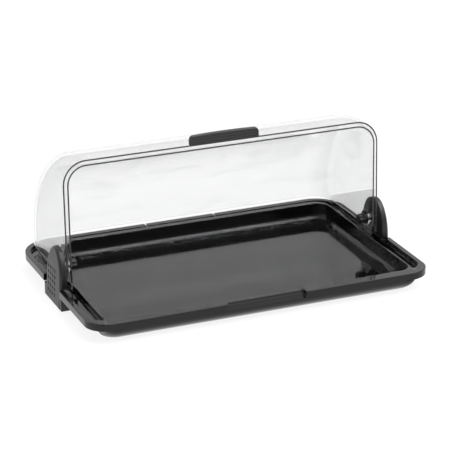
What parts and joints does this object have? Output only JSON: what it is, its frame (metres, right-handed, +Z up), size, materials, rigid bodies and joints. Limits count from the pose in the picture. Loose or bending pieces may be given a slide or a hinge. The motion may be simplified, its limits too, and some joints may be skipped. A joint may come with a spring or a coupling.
{
  "type": "roll-top buffet display case",
  "caption": "Buffet display case: shallow black serving tray with a rounded clear roll-top hood, a rolling front cover with a top handle, and clip-on side brackets with pivot knobs.",
  "frame": {"origin": "on the table under the middle of the tray, bottom centre of the whole part", "axes": "+X along the length to the right as seen from the open front, +Y to the back, +Z up"},
  "size_m": [0.567, 0.367, 0.2484],
  "materials": {
    "black_gloss_plastic": "gloss",
    "black_satin_plastic": "satin",
    "grey_satin_plastic": "satin",
    "clear_sheet": "gloss",
    "clear_washer": "satin",
    "steel": "satin",
    "brass": "satin"
  },
  "bodies": {
    "base": {"tray": "black_gloss_plastic", "rear_cover": "clear_sheet", "pivot_pin_left": "steel", "outer_spacer_left": "clear_washer", "inner_spacer_left": "clear_washer", "hub_washer_left": "clear_washer", "pivot_pin_right": "steel", "outer_spacer_right": "clear_washer", "inner_spacer_right": "clear_washer", "hub_washer_right": "clear_washer"},
    "front_roll": {"front_cover": "clear_sheet", "handle": "grey_satin_plastic"},
    "clip_left": {"bracket_left": "black_satin_plastic", "bracket_insert_left": "brass"},
    "clip_right": {"bracket_right": "black_satin_plastic", "bracket_insert_right": "brass"},
    "turn_left": {"knob_left": "black_satin_plastic"},
    "turn_right": {"knob_right": "black_satin_plastic"}
  },
  "joints": [
    {"name": "front_cover_roll", "type": "hinge", "parent": "base", "child": "front_roll", "pos_m": [0, 0.003, 0.0589], "axis": [1, 0, 0], "range_deg": [0, 92.2]},
    {"name": "bracket_left_clip", "type": "slide", "parent": "base", "child": "clip_left", "axis": [-1, 0, 0], "range_m": [0, 0.028]},
    {"name": "bracket_right_clip", "type": "slide", "parent": "base", "child": "clip_right", "axis": [1, 0, 0], "range_m": [0, 0.028]},
    {"name": "knob_left_turn", "type": "hinge", "parent": "base", "child": "turn_left", "pos_m": [0, 0.003, 0.0589], "axis": [1, 0, 0], "continuous": true},
    {"name": "knob_right_turn", "type": "hinge", "parent": "base", "child": "turn_right", "pos_m": [0, 0.003, 0.0589], "axis": [1, 0, 0], "continuous": true}
  ]
}
